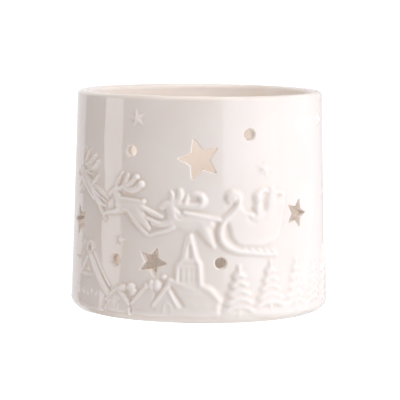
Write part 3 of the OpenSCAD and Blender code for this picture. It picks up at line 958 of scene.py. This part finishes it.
def bump(tree, bsdf, factor, distance, strength):
    """Fine unevenness that only bends the light. The distance is in metres."""
    b = add(tree, "ShaderNodeBump", Strength=strength, Distance=distance)
    tree.links.new(factor, b.inputs["Height"])
    tree.links.new(b.outputs["Normal"], bsdf.inputs["Normal"])


def sum_of(tree, a, b):
    """Two factors added."""
    m = add(tree, "ShaderNodeMath", operation="ADD")
    for source, socket in zip((a, b), m.inputs):
        tree.links.new(source, socket)
    return m.outputs[0]


def porcelain_material():
    """Clear glaze over a warm white body, with faint clouds and a gloss that wavers a little. Its colour is
    darker and warmer in the corners of the relief and paler on its crests: partly the glaze lying thick and
    thin, partly painted shade in the hollows and a painted highlight on the crests."""
    m, tree, bsdf = new_material("glazed_porcelain")
    clouds = spread(tree, noise(tree, 60, 3), -0.16, 0.16, *NOISE_RANGE)
    pool = add(tree, "ShaderNodeAttribute", attribute_name="glaze_pool_and_shade")
    # thick carries the painted shade and the painted highlight as well as the glaze's thickness
    thick = sum_of(tree, spread(tree, pool.outputs["Fac"], 0, 1, -1, 1), clouds)
    # From a painted highlight on crests, through the plain glaze, to painted shade in hollows
    paint(tree, bsdf, thick, (0.93, 0.91, 0.895), (0.905, 0.875, 0.85), (0.86, 0.79, 0.73))
    ripple = noise(tree, 420)
    polish(tree, bsdf, ripple, 0.03, 0.07, *NOISE_RANGE)
    bump(tree, bsdf, ripple, 0.00001, 0.2)
    set_values(bsdf, IOR=1.52, Subsurface_Weight=0.12, Subsurface_Scale=0.0012,
               Subsurface_Radius=(1.0, 0.7, 0.5))
    return m


def bare_foot_material():
    """The unglazed ring that the holder stands on: matt, gritty and a little soiled."""
    m, tree, bsdf = new_material("bare_foot")
    paint(tree, bsdf, noise(tree, 900, 5), (0.56, 0.5, 0.44), (0.78, 0.73, 0.67), (0.86, 0.83, 0.79))
    polish(tree, bsdf, noise(tree, 300), 0.65, 0.9, *NOISE_RANGE)
    bump(tree, bsdf, noise(tree, 2600, 4), 0.00008, 0.7)
    return m


def aluminium_material():
    """Thin drawn sheet: streaks up the side from the die, and a soft, uneven shine."""
    m, tree, bsdf = new_material("drawn_aluminium")
    streaks = noise(tree, 900, 3, (1, 1, 0.05))
    paint(tree, bsdf, streaks, (0.70, 0.70, 0.71), (0.88, 0.88, 0.885))
    polish(tree, bsdf, noise(tree, 240), 0.22, 0.4, *NOISE_RANGE)
    bump(tree, bsdf, streaks, 0.00002, 0.35)
    set_values(bsdf, Metallic=1.0)
    return m


def tin_material():
    """Pressed tinplate with a dull, mottled face."""
    m, tree, bsdf = new_material("tinplate")
    mottle = noise(tree, 700, 4)
    paint(tree, bsdf, mottle, (0.52, 0.53, 0.54), (0.74, 0.75, 0.76))
    polish(tree, bsdf, mottle, 0.45, 0.28, *NOISE_RANGE)
    bump(tree, bsdf, noise(tree, 1600, 2), 0.00002, 0.3)
    set_values(bsdf, Metallic=1.0)
    return m


def wax_material():
    """Pressed paraffin: milky, with frosty flecks where its grains met."""
    m, tree, bsdf = new_material("paraffin")
    where = add(tree, "ShaderNodeTexCoord")
    grains = add(tree, "ShaderNodeTexVoronoi", Scale=1100)
    tree.links.new(where.outputs["Object"], grains.inputs["Vector"])
    frost = sum_of(tree, spread(tree, grains.outputs["Distance"], 0, 0.6, 0, 0.7),
                   spread(tree, noise(tree, 180, 4), 0, 0.5, *NOISE_RANGE))
    paint(tree, bsdf, frost, (0.90, 0.885, 0.84), (0.95, 0.94, 0.915))
    polish(tree, bsdf, frost, 0.34, 0.6)
    bump(tree, bsdf, frost, 0.00003, 0.35)
    set_values(bsdf, IOR=1.44, Subsurface_Weight=0.6, Subsurface_Scale=0.003,
               Subsurface_Radius=(1.0, 0.85, 0.65))
    return m


def cotton_material():
    """Braided cotton, primed with wax: fine fibres along the strands."""
    m, tree, bsdf = new_material("primed_cotton")
    fibres = noise(tree, 5200, 3, (1, 1, 0.3))
    paint(tree, bsdf, fibres, (0.74, 0.69, 0.58), (0.93, 0.90, 0.82))
    polish(tree, bsdf, fibres, 0.62, 0.88)
    bump(tree, bsdf, fibres, 0.00006, 0.8)
    set_values(bsdf, Sheen_Weight=0.25)
    return m


# ---- Stage ----

def build_stage():
    """A round studio floor that sweeps up into its backdrop. Only the camera sees it, so it neither lights
    the object nor stands in its reflections."""
    radius, sweep, top = 2200, 700, 3000
    skin = Skin(72)
    profile = [(r, 0) for r in (1, 120, 300, 700)]
    profile += arc((radius - sweep, sweep), sweep, -90, 0, 12) + [(radius, top), (0, top)]
    skin.turned(profile)
    skin.cap(np.arange(skin.columns), 0)
    m, tree, bsdf = new_material("studio_paper")
    paint(tree, bsdf, noise(tree, 3, 2), (0.44, 0.44, 0.44), (0.46, 0.46, 0.46))
    set_values(bsdf, Roughness=0.95, Specular_IOR_Level=0.0, Emission_Color=(1, 1, 1, 1),
               Emission_Strength=1.0)
    sheet, _ = mesh_object("studio_sweep", np.vstack(skin.co), skin.faces, m)
    for ray in ("diffuse", "glossy", "transmission", "volume_scatter", "shadow"):
        setattr(sheet, "visible_" + ray, False)


def area_light(name, azimuths, elevations, distance, radiance, colour):
    """A soft box that faces the object and fills a range of azimuths and elevations, in degrees. Azimuth 0
    is the camera's side and positive is to its right. Its strength is the brightness of its face."""
    azimuth, elevation = (math.radians(sum(pair) / 2) for pair in (azimuths, elevations))
    wide, high = (2 * distance * math.tan(math.radians(b - a) / 2) for a, b in (azimuths, elevations))
    data = bpy.data.lights.new(name, "AREA")
    data.shape = "RECTANGLE"
    data.size, data.size_y = wide, high
    data.energy = radiance * math.pi * wide * high
    data.color = colour
    light = bpy.data.objects.new(name, data)
    where = Vector((math.sin(azimuth) * math.cos(elevation), -math.cos(azimuth) * math.cos(elevation),
                    math.sin(elevation))) * distance
    light.location = Vector((0, 0, 0.5 * DRUM.height * MM)) + where
    light.rotation_euler = (-where).to_track_quat("-Z", "Y").to_euler()
    light.visible_camera = False
    bpy.context.scene.collection.objects.link(light)
    return light


def build_lights():
    """A warm room, a cool key from the right, soft boxes behind and above, a narrow strip at the left, the
    light that a white table throws up, and the warm glow that gathers inside under the rim."""
    world = bpy.data.worlds.new("studio")
    bpy.context.scene.world = world
    world.use_nodes = True
    room = world.node_tree.nodes["Background"]
    room.inputs["Color"].default_value = (1, 0.84, 0.74, 1)
    room.inputs["Strength"].default_value = 0.225
    cool = (0.96, 0.985, 1.05)
    area_light("key_front", (21, 76), (-32, 44), 0.8, 1.4, cool)
    area_light("key_side", (76, 131), (-32, 44), 0.8, 0.68, cool)
    area_light("back_right", (131, 180), (-32, 44), 0.9, 0.55, cool)
    area_light("back_left", (180, 229), (-32, 44), 0.9, 0.75, cool)
    area_light("strip_left", (-96, -74), (-36, 18), 0.8, 2.1, (1, 0.98, 1.01))
    area_light("front_high", (-35, 65), (38, 80), 0.9, 0.8, (1, 0.96, 0.95))
    area_light("top", (-20, 20), (70, 110), 0.9, 2.1, (1, 0.94, 0.88))
    area_light("table_bounce", (-10, 110), (-130, -12), 0.5, 0.6, (1, 0.95, 0.93))
    glow = area_light("inside_glow", (-32, 32), (58, 122), 0.036, 1.2, (1, 0.83, 0.68))
    glow.data.shape = "DISK"
    glow.visible_glossy = False


def build_camera():
    """From a little above the rim, through a long lens, with the slight roll of a camera held by hand."""
    data = bpy.data.cameras.new("camera")
    camera = bpy.data.objects.new("camera", data)
    data.sensor_width = 36
    data.lens = 229.4
    data.shift_x = -0.0028
    distance, height = 0.85, 0.1192
    pitch, roll = 0.0975, 0.0085
    camera.location = (0, -distance, height)
    camera.rotation_euler = (math.pi / 2 - pitch, -roll, 0)
    bpy.context.scene.collection.objects.link(camera)
    bpy.context.scene.camera = camera


# ---- The pieces ----

def build_porcelain():
    """The body, with its glaze, its painted shade and its painted highlight mapped to its relief, a bare
    foot ring and the outer wall's exact normals.
    """
    # The inside, rim, floor and underside get one fixed level of painted shade, which sets how dark and warm
    # they look
    off_wall_pool_and_shade = 0.25
    skin, wall, places = porcelain_skin()
    piece, place = mesh_object("porcelain", np.vstack(skin.co), skin.faces, porcelain_material(),
                               bare_foot_material())
    mesh = piece.data
    wall = place[wall]
    # On the outer wall: painted shade in the relief's hollows and a painted highlight on its crests, as well
    # as thick and thin glaze
    pool = np.full(len(mesh.vertices), off_wall_pool_and_shade)
    pool[wall] = FRIEZE.sample(FRIEZE.pool, places[:, 0], wall_profile(places[:, 1])[1])
    mesh.attributes.new("glaze_pool_and_shade", "FLOAT", "POINT").data.foreach_set("value", pool)
    bare = 0.1 * MM        # only the foot ring is as low as this
    for face in mesh.polygons:
        if all(mesh.vertices[v].co.z < bare for v in face.vertices):
            face.material_index = 1
    normals = np.zeros((len(mesh.vertices), 3))
    normals[wall] = wall_normal(places[:, 0], places[:, 1])
    mesh.normals_split_custom_set_from_vertices([tuple(n) for n in normals])
    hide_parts("holder_body")
    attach(piece, "holder")


WICK_GRIP = 0.02       # the wick's bore is this much tighter than the wick


def measure_node(node):
    """A round node's radius, lowest and highest point."""
    low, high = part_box(node)
    return (high.x - low.x) / 2 / MM, low.z / MM, high.z / MM


def build_cup():
    """A cup drawn from thin sheet: a fluted side, an edge rolled into a bead, a ring stamped in its base."""
    outside, low, high = measure_node("tealight_cup")
    sheet, bead, foot = 0.3, 0.55, 1.0
    side = outside - bead
    flutes, deep = 60, 0.09

    def fluted(a, r, z):
        fade = np.clip((z - low - 1.5) / 3, 0, 1) * np.clip((high - 1.6 - z) / 1.5, 0, 1) * (r > side - 1)
        return r - fade * deep * (0.5 + 0.5 * np.cos(flutes * a + 0.8 * np.sin(7 * a))), z

    rise = np.linspace(low + foot, high - 2 * bead, 22)
    stamp = [(13.2, low), (12.9, low + 0.12), (12.1, low + 0.12), (11.8, low)]
    outer = [(r, z) for r, z in reversed(stamp)] + arc((side - foot, low + foot), foot, -90, 0, 6)
    outer += [(side, z) for z in rise[1:]]
    curl = arc((side, high - bead), bead, -75, 180, 14)
    inner = [(side - sheet, z) for z in rise[::-1]]
    inner += arc((side - foot, low + foot), foot - sheet, 0, -90, 5)
    inner += [(r, low + sheet) for r in (14, 9, 4)] + [(0, low + sheet)]
    skin = Skin(flutes * 6)
    row = skin.ring(4, low)
    skin.cap(row, low)
    skin.turned(outer + curl + inner, fluted, row)
    piece, _ = mesh_object("aluminium_cup", np.vstack(skin.co), skin.faces, aluminium_material())
    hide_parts("tealight_cup")
    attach(piece, "cup")


def build_wax():
    """A pressed round of wax: soft edges, a top that dips between its rim and the wick, and the hollow for
    the wick's plate below."""
    radius, low, high = measure_node("wax")
    bore = measure_node("wick")[0] - WICK_GRIP
    plate, _, _ = measure_node("wick_sustainer")
    gap, soft, neck = 0.2, 0.8, 1.7
    neck_top = measure_node("wick_sustainer")[2] + gap
    recess = low + 0.5
    dip = 0.3

    def pressed(a, r, z):
        """The top isn't quite level between its rim and the wick, as the press left it."""
        on_top = np.clip(z - high + 1, 0, 1)
        on_top = on_top * np.clip((radius - 0.9 - r) / 2, 0, 1) * np.clip((r - 1) / 2, 0, 1)
        return r, z + on_top * 0.05 * (np.sin(3 * a + 0.22 * r) + 0.6 * np.sin(7 * a - 0.5 * r))

    top = [(r, high - dip * math.sin(math.pi * np.clip((r - 1.4) / (radius - 3), 0, 1))**2 - 0.06)
           for r in np.linspace(radius - 1.3, 1.4, 26)]
    profile = [(plate + gap, low)] + arc((radius - soft, low + soft), soft, -90, 0, 6)
    profile += [(radius, z) for z in np.linspace(low + soft, high - soft, 8)[1:]]
    profile += arc((radius - soft, high - soft), soft, 0, 90, 8)[1:] + top
    profile += [(bore, high - 0.2), (bore, neck_top), (neck, neck_top), (neck, recess),
                (plate + gap, recess)]
    skin = Skin(144)
    first = skin.ring(*profile[0], pressed)
    last = skin.turned(profile[1:], pressed, first)
    skin.bridge(last, first)
    piece, _ = mesh_object("wax_round", np.vstack(skin.co), skin.faces, wax_material())
    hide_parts("wax")
    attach(piece, "candle")


def build_sustainer():
    """The wick's tin plate: a rim turned up a little, a stamped ring, and a neck crimped from four sides."""
    plate, low, high = measure_node("wick_sustainer")
    bore = measure_node("wick")[0] - WICK_GRIP
    thick, neck = 0.3, 1.5
    crimp_z = low + 0.62 * (high - low)

    def crimped(a, r, z):
        squeeze = 0.28 * np.exp(-((z - crimp_z) / 0.9)**2) * np.abs(np.cos(2 * a))**6 * (r > bore + 0.2)
        return r - squeeze, z

    face = low + thick
    lip, stamp = face + 0.06, face + 0.12
    profile = [(bore, low), (plate - 0.15, low), (plate, low + 0.12), (plate, lip), (plate - 0.3, lip),
               (plate - 0.6, face), (4.4, face), (4.2, stamp), (3.7, stamp), (3.5, face),
               (neck + 0.5, face), (neck, face + 0.5)]
    profile += [(neck, z) for z in np.linspace(face + 0.8, high - 0.15, 14)]
    profile += [(neck - 0.15, high), (bore, high)]
    skin = Skin(96)
    first = skin.ring(*profile[0])
    last = skin.turned(profile[1:], crimped, first)
    skin.bridge(last, first)
    piece, _ = mesh_object("wick_plate", np.vstack(skin.co), skin.faces, tin_material())
    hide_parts("wick_sustainer")
    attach(piece, "candle")


def build_wick():
    """A flat braid of three cotton strands, each a closed tube."""
    _, low, high = measure_node("wick")
    strand, wide, deep, pitch = 0.3, 0.48, 0.3, 3.0
    turns = (high - low) / pitch
    sides, steps = 10, int(18 * turns)
    u = np.linspace(0, 1, steps + 1)
    skin = Skin(sides)
    q = 2 * math.pi * np.arange(sides) / sides
    strands = 3
    for k in range(strands):
        phase = 2 * math.pi * (turns * u + k / strands)
        path = np.column_stack([wide * np.sin(phase), deep * np.sin(2 * phase), low + (high - low) * u])
        along = np.gradient(path, axis=0)
        along /= np.linalg.norm(along, axis=1)[:, None]
        side = np.cross(along, [0, 1, 0])
        side /= np.linalg.norm(side, axis=1)[:, None]
        front = np.cross(side, along)
        thin = strand * np.minimum(1, np.sqrt(np.maximum(np.minimum(u, 1 - u), 0) * steps / 2 + 0.15))
        rows = []
        for p, s, f, r in zip(path, side, front, thin):
            rows.append(skin.add(p + r * (np.outer(np.cos(q), s) + np.outer(np.sin(q), f))))
        for a, b in zip(rows[:-1], rows[1:]):
            skin.bridge(a, b)
        for row in (rows[0], rows[-1]):
            skin.faces.append(tuple(row))
    co = np.vstack(skin.co)
    co[:, 2] = np.clip(co[:, 2], low, high)
    piece, _ = mesh_object("braided_wick", co, skin.faces, cotton_material())
    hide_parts("wick")
    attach(piece, "candle")


build_camera()
build_lights()
build_stage()
build_porcelain()
build_cup()
build_wax()
build_sustainer()
build_wick()

bpy.context.scene.view_settings.view_transform = "Standard"
